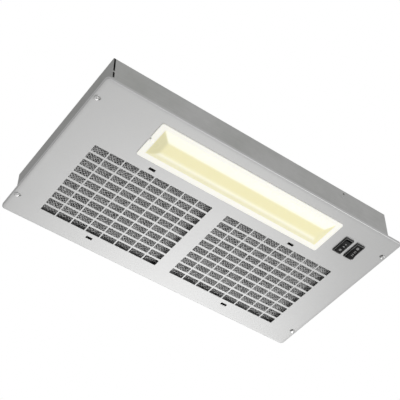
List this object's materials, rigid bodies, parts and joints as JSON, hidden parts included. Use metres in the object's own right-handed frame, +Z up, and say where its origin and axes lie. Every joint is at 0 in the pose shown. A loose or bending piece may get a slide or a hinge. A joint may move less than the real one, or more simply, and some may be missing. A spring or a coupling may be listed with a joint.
{
  "type": "range hood",
  "caption": "Range hood power pack: perforated steel panel with two grease filters, lamp lens and rocker switches below a shallow housing with a raised blower cover.",
  "frame": {"origin": "centre of the four mounting screws, on the upper face of the housing's bottom flange", "axes": "+X to the cook's right along the width, +Y back towards the wall, +Z up towards the duct"},
  "size_m": [0.521, 0.284, 0.1752],
  "materials": {
    "silver_paint": "satin silver powder coat",
    "galvanised": "galvanised sheet, faint spangle",
    "plated_steel": "zinc plated",
    "scroll_steel": "galvanised sheet",
    "wheel_aluminium": "mill finish",
    "filter_aluminium": "expanded foil mesh in a folded frame",
    "motor_iron": "varnished laminations",
    "winding": "taped and varnished winding",
    "bronze": "sintered bronze",
    "white_enamel": "gloss white enamel",
    "holder_plastic": "white moulding",
    "lamp_glass": "phosphor coated tube",
    "lamp_cap": "rolled caps with pins",
    "lens_plastic": "translucent warm white diffuser",
    "black_plastic": "satin black moulding",
    "terminal_brass": "bare blades",
    "black_rubber": "moulded",
    "lead_insulation": "vinyl sleeve"
  },
  "bodies": {
    "hood": {"ballast": "white_enamel", "bearing_bracket_left": "plated_steel", "bearing_bracket_right": "plated_steel", "bearing_bush_left": "bronze", "bearing_bush_right": "bronze", "blower_cover": "galvanised", "bottom_panel": "silver_paint", "collar_rivets": "plated_steel", "corner_rivets": "plated_steel", "cover_screws": "plated_steel", "duct_collar": "galvanised", "end_panel_left": "galvanised", "end_panel_right": "galvanised", "fan_switch_body": "black_plastic", "fan_switch_terminals": "terminal_brass", "filter_clips": "plated_steel", "filter_frame_left": "filter_aluminium", "filter_frame_right": "filter_aluminium", "filter_mesh_left": "filter_aluminium", "filter_mesh_right": "filter_aluminium", "housing_wrap": "galvanised", "inner_inlet_plate_left": "scroll_steel", "inner_inlet_plate_right": "scroll_steel", "lamp_lead": "lead_insulation", "lampholder_left": "holder_plastic", "lampholder_right": "holder_plastic", "lead_grommet": "black_rubber", "lens_catch": "plated_steel", "light_switch_body": "black_plastic", "light_switch_terminals": "terminal_brass", "motor_bracket": "galvanised", "motor_bracket_screws": "plated_steel", "motor_coil": "winding", "motor_lead": "lead_insulation", "motor_stack": "motor_iron", "mounting_screws": "plated_steel", "outer_inlet_plate_left": "scroll_steel", "outer_inlet_plate_right": "scroll_steel", "reflector_tray": "white_enamel", "scroll_wrap_left": "scroll_steel", "scroll_wrap_right": "scroll_steel", "switch_lead": "lead_insulation", "wiring_box": "galvanised", "wiring_box_cover": "galvanised"},
    "blower_rotor": {"motor_shaft": "plated_steel", "motor_rotor": "motor_iron", "blower_wheel_left": "wheel_aluminium", "blower_wheel_right": "wheel_aluminium"},
    "damper": {"damper_flap": "galvanised", "damper_rod": "plated_steel"},
    "lens": {"lamp_lens": "lens_plastic"},
    "lamp": {"lamp_glass": "lamp_glass", "lamp_caps": "lamp_cap"},
    "fan_rocker": {"fan_rocker": "black_plastic"},
    "light_rocker": {"light_rocker": "black_plastic"}
  },
  "joints": [
    {"name": "blower_spin", "type": "hinge", "parent": "hood", "child": "blower_rotor", "pos_m": [0, 0.033, 0.079], "axis": [1, 0, 0], "continuous": true},
    {"name": "damper_swing", "type": "hinge", "parent": "hood", "child": "damper", "pos_m": [0, 0.024, 0.1554], "axis": [1, 0, 0], "range_deg": [0, 78]},
    {"name": "lens_swing", "type": "hinge", "parent": "hood", "child": "lens", "pos_m": [0.1618, -0.09, -0.0016], "axis": [0, -1, 0], "range_deg": [0, 60]},
    {"name": "lamp_twist", "type": "hinge", "parent": "hood", "child": "lamp", "pos_m": [0, -0.09, 0.018], "axis": [1, 0, 0], "range_deg": [0, 90]},
    {"name": "fan_rocker_tilt", "type": "hinge", "parent": "hood", "child": "fan_rocker", "pos_m": [0.1893, -0.0903, 0.0014], "axis": [1, 0, 0], "range_deg": [-13, 13]},
    {"name": "light_rocker_tilt", "type": "hinge", "parent": "hood", "child": "light_rocker", "pos_m": [0.21075, -0.0903, 0.0014], "axis": [1, 0, 0], "range_deg": [0, 26]}
  ]
}
